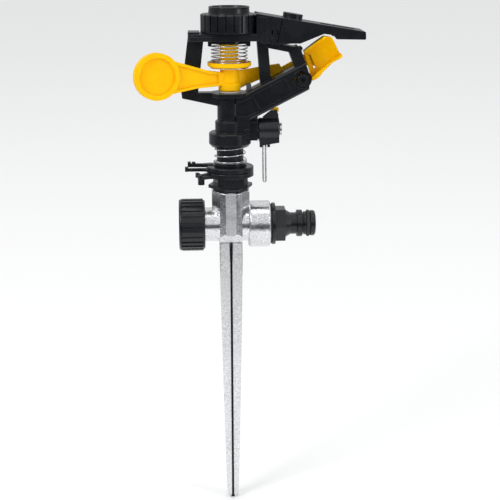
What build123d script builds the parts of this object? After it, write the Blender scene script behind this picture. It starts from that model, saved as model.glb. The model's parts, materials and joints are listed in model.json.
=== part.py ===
"""Impact sprinkler head on a die-cast ground spike.

Millimetres. The Z axis is the axis of the spike, the head's bearing and the rocker arm.
X points along the nozzle and the hose nipple. The origin lies on the ground line,
where the blade meets the casting above it.
"""
from build123d import *
import math
import os

os.makedirs("parts", exist_ok=True)

# ---------------------------------------------------------------- driving dimensions
# Ground casting
pipe_z = 14.5
pipe_radius = 10.4
cap_thread_radius = 13.2
water_radius = 6.5
socket_flat = 11.4
socket_top = 37.0
mouth_radius = 10.6
pilaster_half = 6.8
pilaster_depth = 11.9
panel_half = 3.3
socket_bore = 8.4
socket_floor = 23.0
boss_radius = 14.2
boss_start = 11.0
boss_end = 24.1
blade_profile = [
    (7.1, 3.7), (6.6, -35.0), (5.9, -67.0), (5.2, -101.0), (4.55, -129.0), (3.6, -165.0),
    (2.8, -168.0), (1.2, -169.3),
]
blade_depth = [(6.1, 3.7), (2.5, -166.0), (1.2, -169.3)]
blade_taper = 1.2
groove_half = 0.7
groove_floor = 0.4

# End cap and hose nipple
cap_radius = 16.0
cap_left = -31.8
cap_right = -15.9
cap_ribs = 26
nipple_bore = 4.6

# Bearing
stem_radius = 5.7
stem_bore = 4.3
running_gap = 0.06
barrel_radius = 9.3
barrel_top = 53.6
collar_inner = 9.9
collar_outer = 14.2
collar_height = 2.8
spring_radius = 9.3
spring_wire = 0.9

# Head
skirt_radius = 12.7
skirt_bottom = 63.4
skirt_top = 72.2
ring_radius = 8.9
ring_top = 79.2
neck_radius = 7.5
platform_bottom = 93.6
platform_top = 96.0
platform_half = 10.7
bridge_bottom = 127.0
bridge_top = 131.1
post_half = 4.0
frame_half = 6.4

# Nozzle tube, which rises from the neck
tube_rise = 27.0
tube_origin_z = 82.6
tube_height = 15.8
tube_half = 8.0
tube_end = 47.3
jet_radius = 5.4

# Rocker arm
pin_radius = 2.0
arm_angle = 199.4
disc_reach = 46.1
disc_z = 107.6
disc_radius = 13.8
flange_radius = 13.05
flange_bottom = 111.5
flange_top = 114.1
arm_spring_radius = 10.7
arm_spring_wire = 0.75

# Tension cap
tension_radius = 17.0
tension_bottom = 131.6
tension_top = 142.4
tension_teeth = 22

# Deflector flap
flap_pivot = (25.4, 127.3)
flap_half = 11.6
flap_wall = 1.6
flap_lug_outer = 9.9
tower_wall_inner = 10.2

# Reversing lever
trip_z = 73.4
trip_start = 16.9
trip_end = 29.8
trip_radius = 6.9
trip_pin_radius = 1.5
trip_tilt = 10.0
wire_radius = 0.5

tube_cos = math.cos(math.radians(tube_rise))
tube_sin = math.sin(math.radians(tube_rise))
tube_plane = Plane(origin=(0, 0, tube_origin_z), x_dir=(0, 1, 0), z_dir=(tube_cos, 0, tube_sin))
tube_top_plane = Plane(origin=(0, 0, tube_origin_z), x_dir=(tube_cos, 0, tube_sin), z_dir=(0, -1, 0))
pipe_plane = Plane(origin=(0, 0, pipe_z), x_dir=(1, 0, 0), z_dir=(0, -1, 0))
pipe_axis = Axis((0, 0, pipe_z), (1, 0, 0))
trip_plane = Plane(origin=(0, 0, trip_z), x_dir=(1, 0, 0), z_dir=(0, -1, 0))
trip_axis = Axis((0, 0, trip_z), (1, 0, 0))
tilt_sin = math.sin(math.radians(trip_tilt))
tilt_cos = math.cos(math.radians(trip_tilt))
tilt_plane = Plane(origin=(0, 0, trip_z), x_dir=(1, 0, 0), z_dir=(0, -tilt_cos, tilt_sin))
leg_plane = Plane(
    origin=(0, -3.2 * tilt_sin, trip_z - 3.2 * tilt_cos), x_dir=(1, 0, 0), z_dir=(0, tilt_sin, tilt_cos),
)
arm_plane = Plane(
    origin=(0, 0, 0),
    x_dir=(math.cos(math.radians(arm_angle)), math.sin(math.radians(arm_angle)), 0),
    z_dir=(math.sin(math.radians(arm_angle)), -math.cos(math.radians(arm_angle)), 0),
)


# ---------------------------------------------------------------- shape helpers
def rod_z(radius, bottom, top, x=0, y=0, mode=Mode.ADD):
    """Round bar along Z between two heights."""
    with Locations((x, y, bottom)):
        Cylinder(radius, top - bottom, align=(Align.CENTER, Align.CENTER, Align.MIN), mode=mode)


def rod_x(radius, start, end, y=0, z=pipe_z, mode=Mode.ADD):
    """Round bar along X."""
    with Locations((start, y, z)):
        Cylinder(
            radius, end - start, rotation=(0, 90, 0),
            align=(Align.CENTER, Align.CENTER, Align.MIN), mode=mode,
        )


def rod_y(radius, near, far, x, z, mode=Mode.ADD):
    """Round bar along Y."""
    with Locations((x, near, z)):
        Cylinder(
            radius, far - near, rotation=(-90, 0, 0),
            align=(Align.CENTER, Align.CENTER, Align.MIN), mode=mode,
        )


def block(x_span, y_span, z_span, mode=Mode.ADD):
    """Rectangular block given by its low and high value along each axis."""
    with Locations((x_span[0], y_span[0], z_span[0])):
        Box(
            x_span[1] - x_span[0], y_span[1] - y_span[0], z_span[1] - z_span[0],
            align=(Align.MIN, Align.MIN, Align.MIN), mode=mode,
        )


def slab(plane, points, start, end, mode=Mode.ADD):
    """Closed outline on a plane, extruded from start to end along the plane's normal."""
    with BuildSketch(plane.offset(start)) as outline:
        with BuildLine():
            Polyline(*points, close=True)
        make_face()
    extrude(outline.sketch, amount=end - start, mode=mode)


def side_slab(points, near, far, mode=Mode.ADD):
    """Outline given as (x, z), extruded between two Y values."""
    slab(Plane.XZ, points, -far, -near, mode)


def turned(points, plane=Plane.XZ, axis=Axis.Z, mode=Mode.ADD):
    """Solid of revolution of a closed outline."""
    with BuildSketch(plane) as outline:
        with BuildLine():
            Polyline(*points, close=True)
        make_face()
    revolve(outline.sketch, axis=axis, mode=mode)


def tube_ring(outer, inner, bottom, top):
    """Plain ring about the Z axis."""
    turned([(inner, bottom), (outer, bottom), (outer, top), (inner, top)])


def coil(radius, wire, bottom, top, turns):
    """Round-wire helical spring about Z."""
    with BuildLine() as path:
        Helix(pitch=(top - bottom) / turns, height=top - bottom, radius=radius, center=(0, 0, bottom))
    with BuildSketch(Plane(origin=path.line @ 0, z_dir=path.line % 0)) as section:
        Circle(wire / 2)
    sweep(section.sketch, path=path.line, is_frenet=True)


# ---------------------------------------------------------------- spike casting
trunk_low = -2.0


def mirrored(profile):
    """Closed outline of a (half width, height) profile and its mirror image."""
    return profile + [(-half, z) for half, z in reversed(profile)]


with BuildPart() as blade:
    # Tapered bar, wide from the front and slimmer from the side
    side_slab(mirrored(blade_profile), -7.0, 7.0)
    slab(Plane.YZ, mirrored(blade_depth), -7.0, 7.0, Mode.INTERSECT)
    top_half, top_z = blade_depth[0]
    end_half, end_z = blade_depth[1]
    lean = math.degrees(math.atan2(top_half - end_half, top_z - end_z))
    length = math.hypot(top_half - end_half, top_z - end_z)
    for side in (1, -1):
        # Narrow groove whose floor follows the taper, with a round top end
        groove = [(side * 9.0, top_z - 3.0), (side * groove_floor * top_half, top_z - 3.0),
                  (side * groove_floor * end_half, end_z), (side * 9.0, end_z)]
        slab(Plane.YZ, groove, -groove_half, groove_half, Mode.SUBTRACT)
        near, far = sorted((side * groove_floor * top_half, side * 9.0))
        rod_y(groove_half, near, far, 0, top_z - 3.0, Mode.SUBTRACT)
        # Bevels beside the groove and along the outer edges
        for centre_x, width in ((0.0, 1.9), (-7.1, 1.3), (7.1, 1.3)):
            with Locations(
                Pos(0, side * top_half, top_z) * Rot(side * lean, 0, 0) * Pos(centre_x, 0, 0)
                * Rot(0, math.copysign(blade_taper, centre_x) if centre_x else 0, 0) * Rot(0, 0, 45)
            ):
                Box(
                    width, width, length, align=(Align.CENTER, Align.CENTER, Align.MAX),
                    mode=Mode.SUBTRACT,
                )

with BuildPart() as spike_body:
    # Faceted socket that narrows to the trunk above and below the pipe
    with BuildSketch(Plane.XY.offset(trunk_low)):
        RegularPolygon(socket_flat, side_count=8, major_radius=False, rotation=22.5)
    extrude(amount=socket_top - trunk_low)
    side_slab(
        mirrored([(socket_flat, socket_top), (socket_flat, 23.8), (pilaster_half, 14.0),
                  (pilaster_half, trunk_low)]),
        -socket_flat - 1, socket_flat + 1, Mode.INTERSECT,
    )
    # Pilaster with bevelled sides, in front and behind
    with BuildSketch(Plane.XY.offset(trunk_low)) as pilaster:
        with BuildLine():
            Polyline(
                *mirrored([(pilaster_half, 9.0), (pilaster_half, 10.4), (panel_half + 0.5, pilaster_depth)]),
                close=True,
            )
        make_face()
        mirror(about=Plane.XZ)
        Rectangle(2 * pilaster_half, 18.4)
    extrude(pilaster.sketch, amount=socket_top - trunk_low)
    slab(
        Plane.YZ,
        mirrored([(pilaster_depth, socket_top), (pilaster_depth, 10.6), (7.6, 5.0), (2.0, 1.4),
                  (2.0, trunk_low)]),
        -socket_flat - 1, socket_flat + 1, Mode.INTERSECT,
    )
    # Round bevel at the mouth
    turned(
        [(0, trunk_low), (20.0, trunk_low), (20.0, 31.0), (mouth_radius, socket_top), (0, socket_top)],
        mode=Mode.INTERSECT,
    )
    # Recessed panel with a round foot on the near and far faces
    panel_foot = 12.0
    panel_depth = 0.9
    for near in (-pilaster_depth, pilaster_depth - panel_depth):
        block((-panel_half, panel_half), (near, near + panel_depth), (panel_foot, 35.0), Mode.SUBTRACT)
        rod_y(panel_half, near, near + panel_depth, 0, panel_foot, Mode.SUBTRACT)
    add(blade.part)
    # Water pipe: cap thread to the left, connector boss to the right
    turned(
        [(-28.2, 0), (-28.2, 12.4), (-27.4, cap_thread_radius), (-17.2, cap_thread_radius),
         (-16.4, pipe_radius), (boss_start, pipe_radius), (boss_start, 13.4), (11.8, boss_radius),
         (23.4, boss_radius), (boss_end, 13.5), (boss_end, 0)],
        pipe_plane, pipe_axis,
    )
    rod_x(water_radius, -30.0, 13.0, mode=Mode.SUBTRACT)
    rod_x(10.4, 12.4, boss_end + 1, mode=Mode.SUBTRACT)
    rod_z(water_radius, pipe_z, socket_floor + 1, mode=Mode.SUBTRACT)
    rod_z(socket_bore, socket_floor, socket_top + 1, mode=Mode.SUBTRACT)

spike_body.part.label = "spike_body"
export_step(spike_body.part, "parts/spike_body.step")

# ---------------------------------------------------------------- end cap
rib_depth = 0.8
with BuildPart() as end_cap:
    turned(
        [(cap_left, 0), (cap_left, 15.0), (-31.0, 15.7), (-30.5, 15.9), (-30.1, 15.3),
         (-16.9, 15.3), (cap_right, 14.6), (cap_right, 13.6), (-29.5, 13.6), (-29.5, 0)],
        pipe_plane, pipe_axis,
    )
    for index in range(cap_ribs):
        angle = index * 360 / cap_ribs
        with Locations(Pos(0, 0, pipe_z) * Rot(angle, 0, 0) * Pos(-23.6, 0, cap_radius - rib_depth)):
            Box(13.0, 1.9, 2 * rib_depth)

end_cap.part.label = "end_cap"
export_step(end_cap.part, "parts/end_cap.step")

with BuildPart() as end_cap_washer:
    rod_x(13.0, -29.5, -28.4)

end_cap_washer.part.label = "end_cap_washer"
export_step(end_cap_washer.part, "parts/end_cap_washer.step")

# ---------------------------------------------------------------- hose nipple
nipple_profile = [
    (13.0, 10.35), (24.1, 10.35), (24.1, 8.6), (25.2, 8.6), (25.2, 12.6), (25.5, 12.9),
    (27.0, 12.9), (27.3, 12.6), (27.3, 8.6), (33.5, 8.6), (36.9, 6.7), (40.6, 6.7),
    (40.6, 7.9), (41.0, 8.3), (43.6, 8.3), (44.2, 7.7), (44.2, 6.4), (45.0, 6.4),
    (45.0, 7.2), (46.4, 7.2), (46.4, 5.9), (48.9, 5.9), (48.9, 7.5), (49.3, 7.9),
    (51.0, 7.9), (51.9, 7.3), (52.2, 6.3),
]
with BuildPart() as hose_connector:
    turned([(13.0, nipple_bore)] + nipple_profile + [(52.2, nipple_bore)], pipe_plane, pipe_axis)
    with BuildSketch(Plane.YZ.offset(27.3)):
        with Locations((0, pipe_z)):
            RegularPolygon(9.8, side_count=6, major_radius=False)
            Circle(8.0, mode=Mode.SUBTRACT)
    extrude(amount=6.2)

hose_connector.part.label = "hose_connector"
export_step(hose_connector.part, "parts/hose_connector.step")

with BuildPart() as connector_washer:
    turned([(24.15, 8.7), (25.15, 8.7), (25.15, 12.2), (24.15, 12.2)], pipe_plane, pipe_axis)

connector_washer.part.label = "connector_washer"
export_step(connector_washer.part, "parts/connector_washer.step")

o_ring_wire = 1.15
with BuildPart() as connector_o_ring:
    with BuildSketch(pipe_plane):
        with Locations((47.65, 5.95 + o_ring_wire)):
            Circle(o_ring_wire)
    revolve(axis=pipe_axis)

connector_o_ring.part.label = "connector_o_ring"
export_step(connector_o_ring.part, "parts/connector_o_ring.step")

# ---------------------------------------------------------------- bearing nut and its rings
nut_corner = 13.7
nut_flat = 9.6
nut_turn = 10.0
ridge_heights = [51.9, 53.0]
with BuildPart() as bearing_nut:
    turned(
        [(stem_radius + running_gap, 27.2), (8.35, 27.2), (8.35, 37.0), (9.5, 37.0), (9.5, 38.2),
         (9.5, 44.0), (11.3, 44.0), (11.3, 45.0), (barrel_radius, 45.0), (barrel_radius, barrel_top),
         (stem_radius + running_gap, barrel_top)],
    )
    # Flange with a corner on each side, flush with the flats in front and behind
    with BuildSketch(Plane.XY.offset(38.2).rotated((0, 0, nut_turn))):
        with BuildLine():
            Polyline(
                (nut_corner, 0), (nut_corner - 1.2, 2.2), (8.6, nut_flat), (-8.6, nut_flat),
                (1.2 - nut_corner, 2.2), (-nut_corner, 0), (1.2 - nut_corner, -2.2),
                (-8.6, -nut_flat), (8.6, -nut_flat), (nut_corner - 1.2, -2.2), close=True,
            )
        make_face()
        Circle(8.0, mode=Mode.SUBTRACT)
    extrude(amount=1.9)
    with BuildSketch(Plane.XY.offset(40.1)) as octagon:
        Rectangle(18.8, 18.8, rotation=nut_turn + 2)
        chamfer(octagon.vertices(), length=3.2)
        Circle(8.0, mode=Mode.SUBTRACT)
    extrude(amount=3.8)
    for height in ridge_heights:
        turned([(9.0, height), (9.6, height), (9.6, height + 0.6), (9.0, height + 0.6)])

bearing_nut.part.label = "bearing_nut"
export_step(bearing_nut.part, "parts/bearing_nut.step")

ring_pieces = [
    ("socket_washer", 10.5, 9.55, 37.05, 38.15),
    ("friction_washer", 7.9, stem_radius + 0.1, 26.4, 27.1),
    ("stem_seal", 7.9, stem_radius + 0.1, 25.5, 26.3),
    ("spring_washer", 10.3, 8.7, 53.7, 54.1),
    ("arm_washer", 6.2, pin_radius + 0.1, 96.05, 96.7),
]
for name, outer, inner, bottom, top in ring_pieces:
    with BuildPart() as ring_piece:
        tube_ring(outer, inner, bottom, top)
    ring_piece.part.label = name
    export_step(ring_piece.part, f"parts/{name}.step")

with BuildPart() as bearing_stem:
    turned(
        [(stem_bore, 23.6), (7.9, 23.6), (7.9, 25.4), (stem_radius, 25.4), (stem_radius, 75.0),
         (stem_bore, 75.0)],
    )

bearing_stem.part.label = "bearing_stem"
export_step(bearing_stem.part, "parts/bearing_stem.step")

with BuildPart() as bearing_sleeve:
    tube_ring(8.1, stem_radius + 0.05, 54.5, 68.3)

bearing_sleeve.part.label = "bearing_sleeve"
export_step(bearing_sleeve.part, "parts/bearing_sleeve.step")

with BuildPart() as bearing_spring:
    coil(spring_radius, spring_wire, 54.65, 66.4, 3.6)

bearing_spring.part.label = "bearing_spring"
export_step(bearing_spring.part, "parts/bearing_spring.step")


# ---------------------------------------------------------------- trip collars
ear_width = 2.5
slit_half = 0.9

# name, bottom, turn about Z, ears as (side, reach, bottom, top), knob as (x, y, bottom, top, radius)
collar_pieces = [
    (
        "lower_collar", 45.3, 27,
        ((1, 21.5, 45.3, 47.1), (-1, 23.6, 45.3, 47.2)), (-18.4, 3.2, 40.7, 45.6, 2.0),
    ),
    (
        "upper_collar", 48.5, -2,
        ((1, 26.0, 49.9, 52.0), (-1, 27.4, 48.5, 50.2)), (-22.4, 3.5, 51.5, 53.0, 1.1),
    ),
]
for name, bottom, turn, ears, knob in collar_pieces:
    knob_x, knob_y, knob_bottom, knob_top, knob_radius = knob
    with BuildPart() as collar:
        # Split ring with two ears, which are squeezed to open it
        with BuildSketch(Plane.XY.offset(bottom).rotated((0, 0, turn))):
            Circle(collar_outer)
            Circle(collar_inner, mode=Mode.SUBTRACT)
            with Locations((-collar_outer, 0)):
                Rectangle(10.0, 2 * slit_half, mode=Mode.SUBTRACT)
        extrude(amount=collar_height)
        chamfer(collar.faces().sort_by(Axis.Z)[-1].edges().filter_by(GeomType.CIRCLE), length=0.4)
        for side, reach, ear_bottom, ear_top in ears:
            with BuildSketch(Plane.XY.offset(ear_bottom).rotated((0, 0, turn))) as finger:
                with BuildLine():
                    Polyline(
                        (-collar_inner - 0.6, side * slit_half), (-collar_outer - 2.0, side * 1.7),
                        (-reach, side * 2.3), (-reach, side * (2.3 + ear_width)),
                        (-collar_outer - 2.6, side * (1.9 + ear_width)),
                        (-collar_inner - 1.2, side * 6.8), close=True,
                    )
                make_face()
            extrude(finger.sketch, amount=ear_top - ear_bottom)
            # Thicker end for the fingertip
            with BuildSketch(Plane.XY.offset(ear_bottom).rotated((0, 0, turn))) as fingertip:
                with Locations((0.9 - reach, side * (2.3 + ear_width / 2))):
                    RectangleRounded(1.9, ear_width + 0.6, 0.6)
            extrude(fingertip.sketch, amount=ear_top - ear_bottom + 1.0)
        with BuildSketch(Plane.XY.offset(knob_bottom).rotated((0, 0, turn))) as knob_disc:
            with Locations((knob_x, knob_y)):
                Circle(knob_radius)
        extrude(knob_disc.sketch, amount=knob_top - knob_bottom)
    collar.part.label = name
    export_step(collar.part, f"parts/{name}.step")

# ---------------------------------------------------------------- head moulding
brace_outline = [
    (39.2, 109.5), (34.6, 122.0), (40.6, 123.6), (42.6, 120.8), (tube_end + 0.1, 107.3),
    (tube_end, 104.0),
]
beam_outline = [
    (16.0, 128.5), (22.6, 122.6), (36.0, 119.9), (41.0, 119.4), (41.4, 122.6), (29.0, 124.6),
    (22.6, 128.5),
]
left_post_outline = [
    (-24.4, 130.0), (-28.9, 96.4), (-28.5, 93.0), (-26.0, 92.4), (-18.9, 96.2), (-15.3, 127.5),
    (-15.3, 130.0),
]
strut_outline = [(-28.9, 96.2), (-28.5, 93.0), (-7.0, 88.2), (-2.0, 87.6), (-2.0, 95.6), (-10.0, 96.2)]
right_post_outline = [(16.1, 129.0), (18.7, 96.0), (25.0, 99.0), (22.6, 129.0)]
seam_top = (30.8, 140.38)
seam_foot = (27.4, 125.7)
tower_outline = [
    (15.7, 128.0), (15.7, 143.0), seam_top, seam_foot, (21.8, 125.7), (21.8, 128.0),
]
tower_room = [(17.6, bridge_top), (17.6, 140.5), (40.0, 136.7), (40.0, 120.0), (17.6, 120.0)]
tube_cut = [(tube_end, 90.0), (tube_end, 107.3), (42.4, 121.2), (70.0, 130.0), (70.0, 90.0)]
seam_gap = 0.5
panel_sink = 0.6
pocket_sink = 1.3
gusset_start = 3.6
gusset_end = 11.8
gusset_top = 82.3
web_half = 4.6
web_end = 16.6

with BuildPart() as tube_shell:
    with BuildSketch(tube_plane):
        RectangleRounded(2 * tube_half, tube_height, 1.6)
    extrude(amount=65.0)
    block((-20.0, gusset_start), (-12.0, 12.0), (60.0, 110.0), Mode.SUBTRACT)
    side_slab(tube_cut, -12.0, 12.0, Mode.SUBTRACT)
    for side in (1, -1):
        near, far = sorted((side * (tube_half - panel_sink), side * tube_half))
        # Sunk side panel with ledges above and below, then a deeper pocket beside the neck
        side_panel = [(18.2, -4.9), (17.2, 4.9), (39.0, 4.9), (39.0, -4.9)]
        slab(tube_top_plane, side_panel, near, far, Mode.SUBTRACT)
        near, far = sorted((side * (tube_half - pocket_sink), side * tube_half))
        side_slab(
            [(gusset_start - 1, gusset_top), (10.6, gusset_top), (16.9, 85.6), (13.9, 94.0), (8.2, 91.6),
             (gusset_start - 1, 89.4)],
            near, far, Mode.SUBTRACT,
        )

with BuildPart() as head_body:
    # Tower: two cheeks and a roof round the flap's lugs
    side_slab(tower_outline, -flap_half, flap_half)
    side_slab(tower_room, -tower_wall_inner, tower_wall_inner, Mode.SUBTRACT)
    rod_z(17.5, bridge_top, 150.0, mode=Mode.SUBTRACT)
    rod_y(1.8, -flap_half, flap_half, flap_pivot[0], flap_pivot[1], Mode.SUBTRACT)
    for slit_x in (24.4, 27.6):
        block((slit_x, slit_x + 0.8), (-flap_half, flap_half), (130.6, 133.6), Mode.SUBTRACT)
    # Rib down the front of each cheek
    for side in (1, -1):
        near, far = sorted((side * flap_half, side * (flap_half + 0.5)))
        side_slab([(17.2, 141.0), (22.0, 141.0), (22.4, 125.7), (18.0, 125.7)], near, far)
    # Bridge plate that carries the tension cap
    with BuildSketch(Plane.XY.offset(bridge_bottom)):
        with Locations((-1.6, 0)):
            RectangleRounded(46.0, 2 * flap_half, 4.0)
    extrude(amount=bridge_top - bridge_bottom)
    # Rounded lip along the front and back of the bridge's left end
    for side in (1, -1):
        near, far = sorted((side * (flap_half - 1.0), side * (flap_half + 0.8)))
        with Locations((-16.6, (near + far) / 2, bridge_bottom + 1.6)):
            Box(13.0, far - near, 2.4)
    # Raised left end beside the tension cap
    block((-24.4, -17.7), (-7.6, 7.6), (bridge_top - 0.1, bridge_top + 1.1))
    # Posts, strut, beam and brace
    side_slab(left_post_outline, -post_half, post_half)
    side_slab(strut_outline, -post_half, post_half)
    side_slab(right_post_outline, -post_half, post_half)
    side_slab(beam_outline, -frame_half, frame_half)
    side_slab(brace_outline, -frame_half, frame_half)
    rod_y(1.3, -3.0, 3.0, 42.3, 121.8)
    rod_z(8.4, bridge_bottom - 1, bridge_top + 1, mode=Mode.SUBTRACT)
    # Skirt, ring and neck
    turned(
        [(0, 66.0), (10.7, skirt_bottom), (11.2, skirt_bottom), (skirt_radius, 65.2),
         (skirt_radius, 71.4), (skirt_radius - 0.9, skirt_top), (ring_radius, skirt_top),
         (ring_radius, 78.6), (8.3, ring_top), (neck_radius, ring_top),
         (neck_radius, platform_bottom + 1), (0, platform_bottom + 1)],
    )
    # Platform under the rocker arm's hub
    with BuildSketch(Plane.XY.offset(platform_bottom)) as platform:
        Rectangle(2 * platform_half, 2 * platform_half)
        chamfer(platform.vertices(), length=4.2)
    extrude(amount=platform_top - platform_bottom)
    # Gusset from the skirt up to the tube, and the ribbed web beside it
    block((gusset_start, gusset_end), (-tube_half, tube_half), (69.0, gusset_top))
    block((gusset_end, web_end), (-web_half, web_half), (67.2, 83.5))
    for rib_bottom in (78.1, 80.9):
        block((gusset_end, web_end), (-web_half - 1.4, web_half + 1.4), (rib_bottom, rib_bottom + 0.8))
    rod_y(1.7, -tube_half - 0.7, -tube_half + 1, 10.0, 73.2)
    add(tube_shell.part)
    # Round window frame of the diffuser knob
    rod_y(5.6, -9.4, -tube_half + 1, 43.0, 104.3)
    # Lug of the reversing lever
    rod_x(4.2, 6.0, web_end, z=trip_z)
    # Waterways, spring well and pin holes
    rod_z(10.5, skirt_bottom - 1, 68.5, mode=Mode.SUBTRACT)
    rod_z(stem_radius + 0.02, 68.0, 75.2, mode=Mode.SUBTRACT)
    rod_z(stem_bore, 75.0, 84.0, mode=Mode.SUBTRACT)
    with BuildSketch(tube_plane):
        Circle(stem_bore)
    extrude(amount=60.0, mode=Mode.SUBTRACT)
    with BuildSketch(tube_plane.offset(33.0)):
        Circle(jet_radius)
    extrude(amount=30.0, mode=Mode.SUBTRACT)
    rod_y(3.6, -9.5, -9.0, 43.0, 104.3, Mode.SUBTRACT)
    rod_y(1.75, -10.0, 0.0, 43.0, 104.3, Mode.SUBTRACT)
    for window_x, window_z in ((42.4, 108.0), (38.9, 104.3)):
        window = (window_x - 1.1, window_x + 1.1)
        block(window, (-10.0, -4.0), (window_z - 1.0, window_z + 1.0), Mode.SUBTRACT)
    rod_z(pin_radius + 0.01, 89.5, platform_top + 1, mode=Mode.SUBTRACT)
    rod_x(trip_pin_radius + 0.01, 9.0, 17.0, z=trip_z, mode=Mode.SUBTRACT)
    # Slot of the reversing tooth
    block((10.0, 13.0), (-3.2, 2.3), (94.6, 100.0), Mode.SUBTRACT)

head_body.part.label = "head_body"
export_step(head_body.part, "parts/head_body.step")

# ---------------------------------------------------------------- pieces in the nozzle tube
with BuildPart() as nozzle_insert:
    with BuildSketch(tube_plane.offset(33.1)):
        Circle(jet_radius - 0.02)
    extrude(amount=18.0)
    with BuildSketch(tube_plane.offset(33.0)):
        Circle(2.7)
    extrude(amount=19.0, mode=Mode.SUBTRACT)
    with BuildSketch(tube_plane.offset(37.5)):
        Circle(4.2)
    extrude(amount=15.0, mode=Mode.SUBTRACT)
    block((tube_end - 0.3, 60.0), (-8.0, 8.0), (90.0, 120.0), Mode.SUBTRACT)
    rod_y(2.1, -8.0, 0.0, 43.0, 104.3, Mode.SUBTRACT)

nozzle_insert.part.label = "nozzle_insert"
export_step(nozzle_insert.part, "parts/nozzle_insert.step")

with BuildPart() as stream_vane:
    with BuildSketch(tube_plane.offset(18.0)):
        Rectangle(2 * stem_bore - 0.2, 0.8)
        Rectangle(0.8, 2 * stem_bore - 0.2)
    extrude(amount=12.0)

stream_vane.part.label = "stream_vane"
export_step(stream_vane.part, "parts/stream_vane.step")

with BuildPart() as diffuser_knob:
    rod_y(3.3, -14.6, -9.8, 43.0, 104.3)
    for index in range(10):
        with Locations(Pos(43.0, -12.4, 104.3) * Rot(0, index * 36, 0) * Pos(3.3, 0, 0)):
            Box(0.7, 3.6, 0.9)
    with BuildSketch(Plane(origin=(43.0, -14.6, 104.3), x_dir=(1, 0, 0), z_dir=(0, -1, 0))):
        RegularPolygon(1.9, side_count=6)
    extrude(amount=-1.6, mode=Mode.SUBTRACT)
    rod_y(1.55, -10.0, -3.0, 43.0, 104.3)
    with Locations(Pos(43.0, 0.2, 104.3) * Rot(0, -tube_rise, 0)):
        Box(3.4, 6.6, 0.8)

diffuser_knob.part.label = "diffuser_knob"
export_step(diffuser_knob.part, "parts/diffuser_knob.step")

# ---------------------------------------------------------------- rocker arm
# The arm plane's normal points to the back, so the front of the bar is at a negative offset
bar_front = -3.0
bar_back = 0.3
disc_front = -3.4
disc_thickness = 4.2
notch_turn = 75.0
bar_outline = [(3.0, 108.0), (14.0, 109.6), (33.5, 115.6), (45.3, 117.0), (45.3, 96.0), (35.5, 97.4),
               (22.0, 99.6), (3.0, 100.6)]
bar_recess = [(8.0, 107.2), (14.0, 107.9), (33.0, 113.6), (34.2, 99.2), (22.0, 101.2), (8.0, 102.2)]
right_plan = [
    (2.0, 2.0), (13.3, 8.2), (21.6, 11.4), (47.2, 11.5), (53.2, 8.2), (58.0, 2.6), (55.4, 1.3),
    (50.8, 5.8), (46.6, 8.7), (22.6, 8.7), (14.6, 5.6), (3.4, 0.0),
]
right_side_view = [
    (2.0, 108.6), (12.7, 109.3), (23.9, 110.8), (30.6, 111.7), (31.8, 109.6), (39.4, 113.7),
    (46.0, 117.3), (57.0, 117.3), (57.0, 110.6), (46.0, 110.6), (39.4, 109.0), (31.6, 104.6),
    (22.0, 103.8), (6.0, 98.0), (2.0, 98.0),
]
spoon_view = [
    (49.9, 102.4), (53.6, 104.5), (55.6, 107.2), (60.9, 113.6), (66.4, 118.4), (64.2, 120.6),
    (59.6, 129.2), (55.3, 129.7), (44.3, 120.3),
]
chute_rise = math.radians(42.0)
chute_plane = Plane(
    origin=(spoon_view[0][0], 0, spoon_view[0][1]),
    x_dir=(math.cos(chute_rise), 0, math.sin(chute_rise)),
    z_dir=(-math.sin(chute_rise), 0, math.cos(chute_rise)),
)
spoon_bend = 23.6
spoon_end_angle = 72.0
spoon_start = (2.0, 2.0)
spoon_width = 20.0
spoon_wall = 1.7


def spoon_band(inner, outer, start, end):
    """Curved band of the spoon, from start to end across the chute."""
    centre_x = spoon_start[0]
    centre_y = spoon_start[1] - spoon_bend

    def on_arc(radius, angle):
        swing = math.radians(angle)
        return (centre_x + radius * math.sin(swing), centre_y + radius * math.cos(swing))

    with BuildSketch(chute_plane.offset(start)) as band:
        with BuildLine():
            ThreePointArc(
                on_arc(outer, 0), on_arc(outer, spoon_end_angle / 2), on_arc(outer, spoon_end_angle)
            )
            Line(on_arc(outer, spoon_end_angle), on_arc(inner, spoon_end_angle))
            ThreePointArc(
                on_arc(inner, spoon_end_angle), on_arc(inner, spoon_end_angle / 2), on_arc(inner, 0)
            )
            Line(on_arc(inner, 0), (centre_x - 4.0, centre_y + inner))
            Line((centre_x - 4.0, centre_y + inner), (centre_x - 4.0, centre_y + outer))
            Line((centre_x - 4.0, centre_y + outer), on_arc(outer, 0))
        make_face()
    extrude(band.sketch, amount=end - start)


with BuildPart() as right_bar:
    slab(Plane.XY, right_plan, 96.0, 120.0)
    side_slab(right_side_view, -5.0, 15.0, Mode.INTERSECT)

with BuildPart() as spoon:
    spoon_band(spoon_bend, spoon_bend + spoon_wall, -1.0, spoon_width)
    spoon_band(spoon_bend - 4.0, spoon_bend + 0.5, -1.0, 1.9)
    spoon_band(spoon_bend - 4.0, spoon_bend + 0.5, 15.6, spoon_width)
    side_slab(spoon_view, -25.0, 10.0, Mode.INTERSECT)
    side_slab([(47.4, 117.9), (48.4, 118.4), (51.9, 109.8), (50.9, 109.3)], -3.0, 6.0, Mode.SUBTRACT)

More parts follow.
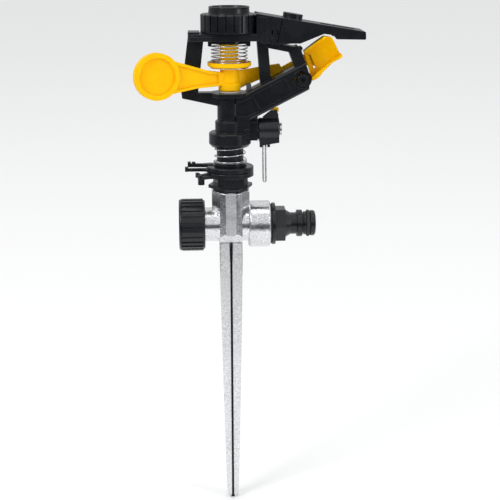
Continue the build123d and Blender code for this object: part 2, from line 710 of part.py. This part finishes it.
with BuildPart() as rocker_arm:
    turned(
        [(0, 96.9), (6.0, 96.9), (6.6, 97.5), (6.6, 101.4), (6.1, 102.0), (5.6, 102.0),
         (5.6, flange_bottom), (12.4, flange_bottom), (flange_radius, flange_bottom + 0.7),
         (flange_radius, flange_top), (12.1, flange_top), (11.9, flange_top - 0.9),
         (5.5, flange_top - 0.9), (5.5, 124.7), (5.1, 125.2), (0, 125.2)],
    )
    slab(arm_plane, bar_outline, bar_front, bar_back)
    with BuildSketch(arm_plane.offset(disc_front)):
        with Locations((disc_reach, disc_z)):
            Circle(disc_radius)
    extrude(amount=disc_thickness)
    slab(arm_plane, bar_recess, bar_front, bar_front + 1.4, Mode.SUBTRACT)
    with BuildSketch(arm_plane.offset(disc_front)):
        with Locations((disc_reach, disc_z)):
            Circle(disc_radius - 2.9)
    extrude(amount=1.6, mode=Mode.SUBTRACT)
    add(right_bar.part)
    add(spoon.part)
    # Notch in the flange for the end of the spring
    with Locations(Rot(0, 0, notch_turn) * Pos(flange_radius - 1.6, 0, flange_top - 1.3)):
        Box(4.4, 2.2, 4.0, mode=Mode.SUBTRACT)
    rod_z(pin_radius + 0.05, 96.0, 126.0, mode=Mode.SUBTRACT)
    rod_z(3.9, 119.0, 126.0, mode=Mode.SUBTRACT)

rocker_arm.part.label = "rocker_arm"
export_step(rocker_arm.part, "parts/rocker_arm.step")

with BuildPart() as arm_pivot_pin:
    rod_z(pin_radius, 89.6, 139.0)

arm_pivot_pin.part.label = "arm_pivot_pin"
export_step(arm_pivot_pin.part, "parts/arm_pivot_pin.step")

with BuildPart() as arm_spring:
    coil(arm_spring_radius, arm_spring_wire, 114.8, 124.2, 5.2)

arm_spring.part.label = "arm_spring"
export_step(arm_spring.part, "parts/arm_spring.step")

# ---------------------------------------------------------------- tension cap
claw_turns = [197, 338]
with BuildPart() as tension_cap:
    turned(
        [(14.6, tension_bottom), (tension_radius, tension_bottom), (tension_radius, tension_top - 0.5),
         (16.5, tension_top), (12.3, tension_top + 0.3), (12.0, 145.6), (12.2, 146.3), (11.8, 146.7),
         (11.1, 146.7), (10.7, 145.0), (0, 144.6), (0, 134.0), (4.6, 134.0), (4.6, 138.6), (6.1, 138.6),
         (6.1, 125.0), (9.4, 125.0), (9.4, 126.6), (8.0, 126.6), (8.0, 138.6), (14.6, 138.6)],
    )
    with PolarLocations(tension_radius, tension_teeth):
        with Locations((0, 0, (tension_bottom + tension_top) / 2 + 0.6)):
            Box(1.8, 0.9, tension_top - tension_bottom, mode=Mode.SUBTRACT)
    for turn in claw_turns:
        with BuildSketch(Plane.XY.offset(125.0).rotated((0, 0, turn))) as claw:
            with Locations((10.2, 0)):
                Rectangle(4.6, 3.4)
        extrude(claw.sketch, amount=1.5)
        with BuildSketch(Plane.XY.offset(123.6).rotated((0, 0, turn))) as claw_tip:
            with Locations((12.2, 0)):
                Rectangle(1.2, 3.4)
        extrude(claw_tip.sketch, amount=2.9)
    rod_z(pin_radius + 0.05, 133.0, 139.4, mode=Mode.SUBTRACT)

tension_cap.part.label = "tension_cap"
export_step(tension_cap.part, "parts/tension_cap.step")

# ---------------------------------------------------------------- deflector flap
flap_slope = math.atan2(132.2 - 139.9, 78.9 - 33.5)
flap_room = [
    (20.0, 139.6), (33.5, 137.9), (77.3, 130.5), (77.3, 120.0), (20.0, 120.0),
]
roof_plane = Plane(
    origin=(33.5, 0, 139.9),
    x_dir=(math.cos(flap_slope), 0, math.sin(flap_slope)),
    z_dir=(-math.sin(flap_slope), 0, math.cos(flap_slope)),
)
lug_view = [(24.0, 124.6), (24.0, 130.0), (36.0, 137.0), (39.0, 137.0), (39.0, 125.6), (28.0, 124.6)]
with BuildPart() as deflector_flap:
    # The notch before the tip clears the spoon as it swings through
    side_slab(
        [(seam_top[0] + seam_gap, 140.27), (80.0, 132.0), (80.2, 127.4), (62.8, 127.8), (60.9, 130.2),
         (55.4, 131.0), (41.5, 125.5), (seam_foot[0] + seam_gap, 125.5)],
        -flap_half, flap_half,
    )
    fillet(deflector_flap.edges().filter_by(Axis.Y).sort_by(Axis.X)[-2:], radius=0.8)
    side_slab(flap_room, flap_wall - flap_half, flap_half - flap_wall, Mode.SUBTRACT)
    # Hinge lugs and snap pivots
    for side in (1, -1):
        inner, outer = sorted((side * 8.2, side * flap_lug_outer))
        side_slab(lug_view, inner, outer)
        inner, outer = sorted((side * 8.2, side * (flap_half - 0.2)))
        rod_y(1.65, inner, outer, flap_pivot[0], flap_pivot[1])
        inner, outer = sorted((side * 8.6, side * (flap_half - 0.5)))
        block((36.0, 39.0), (inner, outer), (127.0, 136.0))
    # Slot with cross ribs, and the round boss
    with BuildSketch(roof_plane.offset(-4.0)):
        with Locations((31.5, 0)):
            RectangleRounded(21.0, 9.0, 1.4)
    extrude(amount=5.0, mode=Mode.SUBTRACT)
    for reach in (26.0, 31.5, 37.0):
        with BuildSketch(roof_plane.offset(-1.9)):
            with Locations((reach, 0)):
                Rectangle(1.2, 9.6)
        extrude(amount=1.2)
    with BuildSketch(roof_plane.offset(-1.0)):
        with Locations((4.1, 0)):
            Circle(5.9)
    extrude(amount=4.1)

deflector_flap.part.label = "deflector_flap"
export_step(deflector_flap.part, "parts/deflector_flap.step")

# ---------------------------------------------------------------- reversing lever
leg_places = (19.9, 21.5)
wire_foot = -36.0
wire_bend = -30.5
with BuildPart() as trip_lever:
    # Barrel with a waist on the left, a lobe above and a foot below
    turned(
        [(trip_start, 0), (trip_start, 5.9), (17.5, trip_radius), (28.9, trip_radius), (29.6, 6.6),
         (trip_end, 5.4), (trip_end, 0)],
        trip_plane, trip_axis,
    )
    slab(
        tilt_plane,
        [(20.2, 4.4), (20.0, 7.6), (24.6, 11.2), (28.4, 11.4), (29.3, 8.4), (29.3, 4.4)], -2.8, 2.8,
    )
    slab(
        tilt_plane,
        [(trip_start + 0.3, -4.0), (18.3, -9.9), (19.2, -10.0), (29.6, -8.4), (29.6, -4.0)], -4.4, 4.4,
    )
    # Two buffers under the foot
    for buffer_x in (17.9, 22.6):
        buffer_end = buffer_x + 1.5
        buffer_view = [(buffer_x, -8.0), (buffer_x, -11.0), (buffer_end, -11.0), (buffer_end, -8.0)]
        slab(tilt_plane, buffer_view, -1.4, 1.4)
    rod_x(trip_pin_radius + 0.06, 16.0, 31.0, z=trip_z, mode=Mode.SUBTRACT)
    rod_x(4.2, 25.4, 31.0, z=trip_z, mode=Mode.SUBTRACT)
    for leg_x in leg_places:
        with BuildSketch(leg_plane):
            with Locations((leg_x, 0)):
                Circle(wire_radius + 0.02)
        extrude(amount=-9.0, mode=Mode.SUBTRACT)

trip_lever.part.label = "trip_lever"
export_step(trip_lever.part, "parts/trip_lever.step")

with BuildPart() as trip_wire:
    with BuildLine(tilt_plane) as hairpin:
        FilletPolyline(
            (leg_places[0], -3.6), (leg_places[0], wire_bend), (sum(leg_places) / 2, wire_foot),
            (leg_places[1], wire_bend), (leg_places[1], -3.6), radius=0.7,
        )
    with BuildSketch(Plane(origin=hairpin.line @ 0, z_dir=hairpin.line % 0)):
        Circle(wire_radius)
    sweep(path=hairpin.line)

trip_wire.part.label = "trip_wire"
export_step(trip_wire.part, "parts/trip_wire.step")

with BuildPart() as trip_dog:
    slab(
        tilt_plane,
        [(24.8, 11.45), (24.8, 12.5), (25.4, 13.1), (28.8, 13.1), (29.6, 12.5), (29.6, 10.4),
         (28.75, 10.4), (28.45, 11.5)], -1.8, 1.8,
    )

trip_dog.part.label = "trip_dog"
export_step(trip_dog.part, "parts/trip_dog.step")

with BuildPart() as trip_pivot_pin:
    rod_x(trip_pin_radius, 9.1, 30.6, z=trip_z)
    rod_x(3.8, 30.2, 31.3, z=trip_z)

trip_pivot_pin.part.label = "trip_pivot_pin"
export_step(trip_pivot_pin.part, "parts/trip_pivot_pin.step")

with BuildPart() as trip_spring:
    turned([(25.8, 2.3), (29.4, 2.3), (29.4, 3.4), (25.8, 3.4)], trip_plane, trip_axis)

trip_spring.part.label = "trip_spring"
export_step(trip_spring.part, "parts/trip_spring.step")

with BuildPart() as reverse_dog:
    side_slab([(10.1, 96.9), (12.9, 96.9), (12.9, 100.6), (12.3, 101.2), (10.1, 101.2)], -3.1, 2.2)

reverse_dog.part.label = "reverse_dog"
export_step(reverse_dog.part, "parts/reverse_dog.step")
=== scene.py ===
"""Looks of an impact sprinkler on a ground spike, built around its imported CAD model."""

import json
import math

import bpy
from mathutils import Euler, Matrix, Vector


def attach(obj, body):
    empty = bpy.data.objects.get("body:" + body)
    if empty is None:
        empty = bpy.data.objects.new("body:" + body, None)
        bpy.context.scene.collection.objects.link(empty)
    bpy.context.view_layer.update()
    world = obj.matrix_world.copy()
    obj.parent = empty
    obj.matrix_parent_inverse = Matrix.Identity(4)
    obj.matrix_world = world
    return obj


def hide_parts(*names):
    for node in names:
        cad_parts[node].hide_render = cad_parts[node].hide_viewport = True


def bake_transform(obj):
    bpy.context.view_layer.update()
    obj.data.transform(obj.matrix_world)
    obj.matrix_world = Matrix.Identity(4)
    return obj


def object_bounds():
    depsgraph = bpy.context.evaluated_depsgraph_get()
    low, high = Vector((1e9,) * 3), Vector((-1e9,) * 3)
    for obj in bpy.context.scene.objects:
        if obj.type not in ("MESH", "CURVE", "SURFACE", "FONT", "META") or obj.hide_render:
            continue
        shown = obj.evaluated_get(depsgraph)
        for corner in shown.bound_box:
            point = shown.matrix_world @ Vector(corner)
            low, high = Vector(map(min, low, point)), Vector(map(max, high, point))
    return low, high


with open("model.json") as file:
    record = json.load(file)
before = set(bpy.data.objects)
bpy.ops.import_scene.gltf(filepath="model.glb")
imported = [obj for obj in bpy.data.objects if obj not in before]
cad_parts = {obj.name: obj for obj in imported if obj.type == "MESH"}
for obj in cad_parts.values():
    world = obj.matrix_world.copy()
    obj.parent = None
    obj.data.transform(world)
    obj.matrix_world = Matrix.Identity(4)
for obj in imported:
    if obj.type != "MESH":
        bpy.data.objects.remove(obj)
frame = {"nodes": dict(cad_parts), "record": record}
cad_low, cad_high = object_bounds()

MM = 0.001

# ---------------------------------------------------------------- camera
CAMERA_AZIMUTH = math.radians(-2.87)
CAMERA_ELEVATION = math.radians(15.0)
CAMERA_ROLL = math.radians(-0.25)
CAMERA_DISTANCE = 0.7465
CAMERA_TARGET = Vector((0.01185, 0.0, -0.00234))
CAMERA_CLIP = (0.01, 100.0)
LENS_MM = 86.4
SENSOR_MM = 36.0


def make_camera():
    """A long lens, a little above the object and slightly to the left of its front."""
    back = Vector(
        (
            math.sin(CAMERA_AZIMUTH) * math.cos(CAMERA_ELEVATION),
            -math.cos(CAMERA_AZIMUTH) * math.cos(CAMERA_ELEVATION),
            math.sin(CAMERA_ELEVATION),
        )
    )
    data = bpy.data.cameras.new("camera")
    data.lens = LENS_MM
    data.sensor_width = SENSOR_MM
    data.clip_start, data.clip_end = CAMERA_CLIP
    camera = bpy.data.objects.new("camera", data)
    bpy.context.scene.collection.objects.link(camera)
    camera.location = CAMERA_TARGET + CAMERA_DISTANCE * back
    camera.rotation_mode = "QUATERNION"
    roll = Euler((0.0, 0.0, CAMERA_ROLL)).to_quaternion()
    camera.rotation_quaternion = (-back).to_track_quat("-Z", "Y") @ roll
    bpy.context.scene.camera = camera


# ---------------------------------------------------------------- nodes
def new_material(name):
    """A material with its node tree and its shader node."""
    material = bpy.data.materials.new(name)
    material.use_nodes = True
    tree = material.node_tree
    return material, tree, tree.nodes["Principled BSDF"]


def add(tree, kind, **values):
    """A new node. Each value sets its property of that name, or else its input."""
    node = tree.nodes.new(kind)
    for key, value in values.items():
        if hasattr(node, key):
            setattr(node, key, value)
        else:
            node.inputs[key.replace("_", " ")].default_value = value
    return node


def object_space(tree):
    return add(tree, "ShaderNodeTexCoord").outputs["Object"]


def noise(tree, where, scale, detail=3.0, roughness=0.55):
    """A value that varies over about 1 / scale metres."""
    node = add(tree, "ShaderNodeTexNoise", Scale=scale, Detail=detail, Roughness=roughness)
    tree.links.new(where, node.inputs["Vector"])
    return node.outputs["Fac"]


def spread(tree, value, low, high, start=0.3, end=0.7):
    """The value's span from start to end, stretched to run from low to high."""
    node = tree.nodes.new("ShaderNodeMapRange")
    tree.links.new(value, node.inputs["Value"])
    node.inputs["From Min"].default_value = start
    node.inputs["From Max"].default_value = end
    node.inputs["To Min"].default_value = low
    node.inputs["To Max"].default_value = high
    return node.outputs["Result"]


def product(tree, first, second):
    node = add(tree, "ShaderNodeMath", operation="MULTIPLY")
    tree.links.new(first, node.inputs[0])
    tree.links.new(second, node.inputs[1])
    return node.outputs[0]


def two_tone(tree, factor, first, second):
    """A colour that runs from first to second with the factor."""
    node = add(tree, "ShaderNodeMix", data_type="RGBA")
    tree.links.new(factor, node.inputs["Factor"])
    node.inputs["A"].default_value = (*first, 1.0)
    node.inputs["B"].default_value = (*second, 1.0)
    return node.outputs["Result"]


def rounded_edges(tree):
    """Normals that turn softly over sharp edges."""
    return add(tree, "ShaderNodeBevel", samples=4, Radius=EDGE_RADIUS).outputs["Normal"]


def bump(tree, height, strength, distance, normal=None):
    node = add(tree, "ShaderNodeBump", Strength=strength, Distance=distance)
    tree.links.new(height, node.inputs["Height"])
    if normal is not None:
        tree.links.new(normal, node.inputs["Normal"])
    return node.outputs["Normal"]


# ---------------------------------------------------------------- studio
FLOOR_RADIUS = 14.0
FLOOR_SIDES = 96
FLOOR_ROUGHNESS = 0.9
FLOOR_TONE = (0.93, 0.93, 0.93)
# Colour the floor takes far out in glossy rays: a painted dark reflection
FLOOR_PAINTED_REFLECTION_TONE = (0.08, 0.08, 0.085)
# Distances from the spike, in metres, where the floor's painted dark reflection starts and ends
# its fade
PAINTED_REFLECTION_REACH = (0.4, 0.75)
# How strong that painted dark reflection is in front and behind, and the Y range between them, in
# metres
PAINTED_REFLECTION_STRENGTH = (1.0, 0.6)
PAINTED_REFLECTION_Y_RANGE = (-0.3, 0.3)

SKY_STRENGTH = 0.88
# Height of the view direction, 0 level and 1 straight up, and the room's colour there
SKY_STOPS = (
    (0.0, (0.12, 0.12, 0.13)),
    (0.16, (0.16, 0.16, 0.17)),
    (0.26, (0.95, 0.96, 0.97)),
    (1.0, (1.0, 1.0, 1.0)),
)
BACKDROP_TONE = (0.97, 0.98, 0.99)
BACKDROP_SHARE = 0.3
# Y of the view direction over which the backdrop comes in
BACKDROP_Y_RANGE = (-0.35, 0.2)

SOFTBOX_AIM = (0.01, 0.0, 0.0)
# Name, place and size in metres, power in watts
SOFTBOXES = (
    ("key_left", (-0.95, -0.85, 0.9), (0.5, 0.8), 7.0),
    ("fill_right", (1.0, -0.7, 0.35), (0.3, 0.9), 3.0),
    ("top", (0.0, -0.1, 2.4), (1.6, 1.6), 8.0),
)


def make_floor():
    """One pale disc, level with the spike's tip. Further out its colour turns dark for glossy
    rays only: a painted dark reflection, standing in for the room in front of a table top."""
    bpy.ops.mesh.primitive_circle_add(
        vertices=FLOOR_SIDES, radius=FLOOR_RADIUS, fill_type="NGON", location=(0, 0, cad_low.z)
    )
    floor = bpy.context.object
    floor.name = "floor"
    material, tree, shader = new_material("pale_floor_painted_dark_reflection")
    shader.inputs["Roughness"].default_value = FLOOR_ROUGHNESS
    shader.inputs["Specular IOR Level"].default_value = 0.0
    reach = add(tree, "ShaderNodeVectorMath", operation="LENGTH")
    tree.links.new(object_space(tree), reach.inputs[0])
    far = spread(tree, reach.outputs["Value"], 0.0, 1.0, *PAINTED_REFLECTION_REACH)
    rays = add(tree, "ShaderNodeLightPath")
    split = add(tree, "ShaderNodeSeparateXYZ")
    tree.links.new(object_space(tree), split.inputs[0])
    strength = spread(tree, split.outputs["Y"], *PAINTED_REFLECTION_STRENGTH, *PAINTED_REFLECTION_Y_RANGE)
    # Painted dark reflection: further out, glossy rays see the floor dark
    painted_reflection_share = product(tree, product(tree, far, strength), rays.outputs["Is Glossy Ray"])
    tone = two_tone(tree, painted_reflection_share, FLOOR_TONE, FLOOR_PAINTED_REFLECTION_TONE)
    tree.links.new(tone, shader.inputs["Base Color"])
    floor.data.materials.append(material)


def make_sky():
    """Even studio light: a white room overhead, a dark low band and a paler backdrop."""
    world = bpy.data.worlds.new("studio")
    bpy.context.scene.world = world
    world.use_nodes = True
    tree = world.node_tree
    shader = tree.nodes["Background"]
    direction = add(tree, "ShaderNodeTexCoord").outputs["Generated"]
    split = add(tree, "ShaderNodeSeparateXYZ")
    tree.links.new(direction, split.inputs[0])
    ramp = add(tree, "ShaderNodeValToRGB")
    tree.links.new(split.outputs["Z"], ramp.inputs["Fac"])
    stops = ramp.color_ramp.elements
    first, *middle, last = SKY_STOPS
    for stop, (position, tone) in zip(stops, (first, last)):
        stop.position, stop.color = position, (*tone, 1.0)
    for position, tone in middle:
        stops.new(position).color = (*tone, 1.0)
    share = spread(tree, split.outputs["Y"], 0.0, BACKDROP_SHARE, *BACKDROP_Y_RANGE)
    backdrop = add(tree, "ShaderNodeMix", data_type="RGBA")
    tree.links.new(share, backdrop.inputs["Factor"])
    tree.links.new(ramp.outputs["Color"], backdrop.inputs["A"])
    backdrop.inputs["B"].default_value = (*BACKDROP_TONE, 1.0)
    tree.links.new(backdrop.outputs["Result"], shader.inputs["Color"])
    shader.inputs["Strength"].default_value = SKY_STRENGTH


def make_softbox(name, place, size, power):
    """A square area light that faces the object."""
    data = bpy.data.lights.new(name, "AREA")
    data.shape = "RECTANGLE"
    data.size, data.size_y = size
    data.energy = power
    light = bpy.data.objects.new(name, data)
    bpy.context.scene.collection.objects.link(light)
    light.location = place
    direction = Vector(SOFTBOX_AIM) - Vector(place)
    light.rotation_euler = direction.to_track_quat("-Z", "Y").to_euler()


def make_studio():
    make_floor()
    make_sky()
    for softbox in SOFTBOXES:
        make_softbox(*softbox)


# ---------------------------------------------------------------- materials
# Lengths in metres, noise scales per metre
EDGE_RADIUS = 0.0005
PLASTIC_PATCHES = 90.0
PLASTIC_GRAIN = 2600.0
PLASTIC_GRAIN_DEPTH = 0.00004
SUBSURFACE_RADIUS = (0.004, 0.002, 0.0005)
ZINC_BLOTCHES = 130.0
ZINC_GRAIN = 1100.0
ZINC_PITS = 480.0
ZINC_PIT_DEPTH = 0.0002
STEEL_SCRATCHES = 300.0
RUBBER_DUST = 400.0
RUBBER_DUST_DEPTH = 0.00004


def moulded_plastic(name, dark, light, gloss, specular, grain=0.25, subsurface=0.0):
    """Injection-moulded plastic: a fine spark-eroded grain and uneven gloss."""
    material, tree, shader = new_material(name)
    where = object_space(tree)
    patches = noise(tree, where, PLASTIC_PATCHES)
    fine = noise(tree, where, PLASTIC_GRAIN, detail=2.0)
    tone = two_tone(tree, spread(tree, patches, 0.0, 1.0), dark, light)
    roughness = spread(tree, patches, gloss - 0.05, gloss + 0.05)
    surface = bump(tree, fine, grain, PLASTIC_GRAIN_DEPTH, rounded_edges(tree))
    tree.links.new(tone, shader.inputs["Base Color"])
    tree.links.new(roughness, shader.inputs["Roughness"])
    tree.links.new(surface, shader.inputs["Normal"])
    shader.inputs["Specular IOR Level"].default_value = specular
    if subsurface:
        shader.inputs["Subsurface Weight"].default_value = subsurface
        shader.inputs["Subsurface Radius"].default_value = SUBSURFACE_RADIUS
    return material


def cast_zinc(name, dark, light, polish, grain_depth):
    """Die-cast zinc: sparkling grain and fine pits, with an uneven polish."""
    material, tree, shader = new_material(name)
    where = object_space(tree)
    blotches = noise(tree, where, ZINC_BLOTCHES, detail=4.0)
    grain = noise(tree, where, ZINC_GRAIN, detail=4.0, roughness=0.7)
    pits = noise(tree, where, ZINC_PITS)
    tone = two_tone(tree, spread(tree, grain, 0.0, 1.0, 0.35, 0.65), dark, light)
    roughness = spread(tree, blotches, polish - 0.08, polish + 0.1)
    pitted = bump(tree, pits, 0.5, ZINC_PIT_DEPTH, rounded_edges(tree))
    surface = bump(tree, grain, 0.8, grain_depth, pitted)
    tree.links.new(tone, shader.inputs["Base Color"])
    tree.links.new(roughness, shader.inputs["Roughness"])
    tree.links.new(surface, shader.inputs["Normal"])
    shader.inputs["Metallic"].default_value = 1.0
    return material


def drawn_steel(name, dark, light):
    """Bright wire with fine scratches."""
    material, tree, shader = new_material(name)
    scratches = noise(tree, object_space(tree), STEEL_SCRATCHES, detail=2.0)
    tone = two_tone(tree, spread(tree, scratches, 0.0, 1.0), dark, light)
    tree.links.new(tone, shader.inputs["Base Color"])
    tree.links.new(spread(tree, scratches, 0.2, 0.28), shader.inputs["Roughness"])
    shader.inputs["Metallic"].default_value = 1.0
    return material


def soft_rubber(name, dark, light):
    """Matt rubber, faintly dusty."""
    material, tree, shader = new_material(name)
    dust = noise(tree, object_space(tree), RUBBER_DUST)
    tone = two_tone(tree, spread(tree, dust, 0.0, 1.0), dark, light)
    surface = bump(tree, dust, 0.2, RUBBER_DUST_DEPTH)
    tree.links.new(tone, shader.inputs["Base Color"])
    tree.links.new(spread(tree, dust, 0.6, 0.75), shader.inputs["Roughness"])
    tree.links.new(surface, shader.inputs["Normal"])
    return material


# The finish of each slot in the record
materials = {
    "zinc_casting": cast_zinc(
        "zinc_casting",
        dark=(0.5, 0.51, 0.53),
        light=(0.93, 0.94, 0.95),
        polish=0.17,
        grain_depth=0.00006,
    ),
    "bright_steel": drawn_steel("bright_steel", dark=(0.52, 0.53, 0.55), light=(0.7, 0.71, 0.73)),
    "black_rubber": soft_rubber(
        "black_rubber", dark=(0.012, 0.012, 0.013), light=(0.03, 0.03, 0.031)
    ),
    "black_plastic": moulded_plastic(
        "black_plastic",
        dark=(0.005, 0.0065, 0.0085),
        light=(0.009, 0.011, 0.014),
        gloss=0.27,
        specular=0.45,
    ),
    "grey_plastic": moulded_plastic(
        "grey_plastic",
        dark=(0.07, 0.075, 0.08),
        light=(0.1, 0.105, 0.11),
        gloss=0.4,
        specular=0.35,
    ),
    "yellow_plastic": moulded_plastic(
        "yellow_plastic",
        dark=(1.0, 0.52, 0.0),
        light=(1.0, 0.58, 0.0),
        gloss=0.35,
        specular=0.1,
        grain=0.12,
        subsurface=0.1,
    ),
    "white_plastic": moulded_plastic(
        "white_plastic",
        dark=(0.72, 0.72, 0.7),
        light=(0.8, 0.8, 0.78),
        gloss=0.35,
        specular=0.4,
        grain=0.15,
        subsurface=0.1,
    ),
}

# ---------------------------------------------------------------- finishes of the casting, with a painted shade in its groove
zinc_satin = cast_zinc(
    "zinc_satin",
    dark=(0.6, 0.61, 0.63),
    light=(0.96, 0.97, 0.98),
    polish=0.36,
    grain_depth=0.00012,
)
# Painted shade: near-black zinc for the faces inside the blade's groove
zinc_painted_groove_shade = cast_zinc(
    "zinc_painted_groove_shade",
    dark=(0.02, 0.021, 0.022),
    light=(0.07, 0.072, 0.075),
    polish=0.5,
    grain_depth=0.00012,
)
ZINC_BRIGHT, ZINC_SATIN, ZINC_PAINTED_SHADE = 0, 1, 2
# Limits of the zones, in mm
BLADE_TOP = 3.6
GROOVE_HALF_WIDTH = 0.72
PANEL_HALF_WIDTH = 3.4
PANEL_MIN_DEPTH = 10.5
# Least Y part of the normal of a face that looks to the front or the back
FACING_LIMIT = 0.9


def casting_zone(centre, normal):
    """The finish of one face: near-black painted shade in the blade's groove, satin on the
    blade's broad faces and on the socket's panels, and bright elsewhere. The centre is in mm."""
    on_blade = centre.z < BLADE_TOP
    # Painted shade on the groove's faces
    if on_blade and abs(centre.x) < GROOVE_HALF_WIDTH:
        return ZINC_PAINTED_SHADE
    faces_out = abs(normal.y) > FACING_LIMIT
    on_panel = abs(centre.x) < PANEL_HALF_WIDTH and abs(centre.y) > PANEL_MIN_DEPTH
    if faces_out and (on_blade or on_panel):
        return ZINC_SATIN
    return ZINC_BRIGHT


def dress_casting():
    """The casting's three finishes, face by face, one of them a painted shade in the groove."""
    mesh = frame["nodes"]["spike_body"].data
    mesh.materials.append(zinc_satin)
    mesh.materials.append(zinc_painted_groove_shade)
    for polygon in mesh.polygons:
        polygon.material_index = casting_zone(polygon.center / MM, polygon.normal)


def dress_cad_nodes():
    """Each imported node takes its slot's material."""
    for part in frame["record"]["subparts"]:
        node = frame["nodes"][part["node"]]
        node.data.materials.clear()
        node.data.materials.append(materials[part["material_slot"]])


# ---------------------------------------------------------------- wire springs
# Degrees about the axis where each coil begins. The arm's coil rises through the notch in the
# arm's flange, at 75 degrees, after 0.95 turns.
BEARING_COIL_START = -170.0
ARM_COIL_START = 75.0 - 0.95 * 360.0
BEARING_WIRE_RADIUS = 0.4 * MM
ARM_WIRE_RADIUS = 0.37 * MM
# Turns from the start, and the coil's radius or height there in mm
BEARING_COIL_RADII = ((0.0, 9.75), (0.6, 9.75), (1.2, 9.2), (4.0, 9.2))
BEARING_COIL_HEIGHTS = (
    (0.0, 54.5),
    (0.35, 54.65),
    (1.22, 58.4),
    (2.22, 62.5),
    (3.2, 66.3),
    (4.0, 66.5),
)
ARM_COIL_RADII = ((0.0, 11.2), (0.9, 11.2), (1.1, 10.75), (7.0, 10.75))
ARM_COIL_HEIGHTS = (
    (0.0, 110.95),
    (0.85, 111.0),
    (1.02, 114.05),
    (1.9, 114.5),
    (6.6, 124.2),
    (7.0, 124.4),
)
STEPS_PER_TURN = 40
WIRE_SIDES = 12


def wire(name, points, radius):
    """Round steel wire along the points, as one closed mesh with flat ends."""
    points = [Vector(point) for point in points]
    count = len(points)
    vertices = []
    normal = None
    for index, point in enumerate(points):
        ahead = points[min(index + 1, count - 1)] - points[max(index - 1, 0)]
        ahead.normalize()
        if normal is None:
            normal = ahead.orthogonal().normalized()
        normal = (normal - ahead * normal.dot(ahead)).normalized()
        side = ahead.cross(normal)
        for step in range(WIRE_SIDES):
            angle = 2 * math.pi * step / WIRE_SIDES
            offset = normal * math.cos(angle) + side * math.sin(angle)
            vertices.append(point + radius * offset)
    faces = [tuple(reversed(range(WIRE_SIDES)))]
    for ring in range(count - 1):
        near, far = ring * WIRE_SIDES, (ring + 1) * WIRE_SIDES
        for step in range(WIRE_SIDES):
            after = (step + 1) % WIRE_SIDES
            faces.append((near + step, near + after, far + after, far + step))
    faces.append(tuple(range((count - 1) * WIRE_SIDES, count * WIRE_SIDES)))
    mesh = bpy.data.meshes.new(name)
    mesh.from_pydata(vertices, [], faces)
    for polygon in mesh.polygons:
        polygon.use_smooth = len(polygon.vertices) == 4
    made = bpy.data.objects.new(name, mesh)
    bpy.context.scene.collection.objects.link(made)
    mesh.materials.append(materials["bright_steel"])
    return made


def smooth_step(value):
    """0 to 1, slow at both ends."""
    return value * value * (3 - 2 * value)


def straight(value):
    return value


def between(stops, value, ease):
    """The result at value, from (value, result) stops, with ease between each two."""
    for (start, first), (end, second) in zip(stops, stops[1:]):
        if value <= end:
            return first + (second - first) * ease((value - start) / (end - start))
    return stops[-1][1]


def coil_points(start_degrees, radii, heights):
    """Points of a right-handed coil about the Z axis, in metres."""
    turns = heights[-1][0]
    steps = int(turns * STEPS_PER_TURN)
    points = []
    for step in range(steps + 1):
        turn = turns * step / steps
        angle = math.radians(start_degrees) + 2 * math.pi * turn
        radius = between(radii, turn, smooth_step) * MM
        height = between(heights, turn, straight) * MM
        points.append((radius * math.cos(angle), radius * math.sin(angle), height))
    return points


def make_bearing_spring():
    """Open coil round the bearing, with closed ends and a wider bottom turn."""
    points = coil_points(BEARING_COIL_START, BEARING_COIL_RADII, BEARING_COIL_HEIGHTS)
    spring = wire("bearing_spring_wire", points, BEARING_WIRE_RADIUS)
    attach(spring, "ground_part")
    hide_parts("bearing_spring")


def make_arm_spring():
    """Light coil from under the arm's flange, through its notch, up to the cap."""
    points = coil_points(ARM_COIL_START, ARM_COIL_RADII, ARM_COIL_HEIGHTS)
    spring = wire("arm_spring_wire", points, ARM_WIRE_RADIUS)
    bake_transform(spring)
    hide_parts("arm_spring")


make_camera()
make_studio()
dress_cad_nodes()
dress_casting()
make_bearing_spring()
make_arm_spring()
bpy.context.scene.view_settings.view_transform = "Standard"
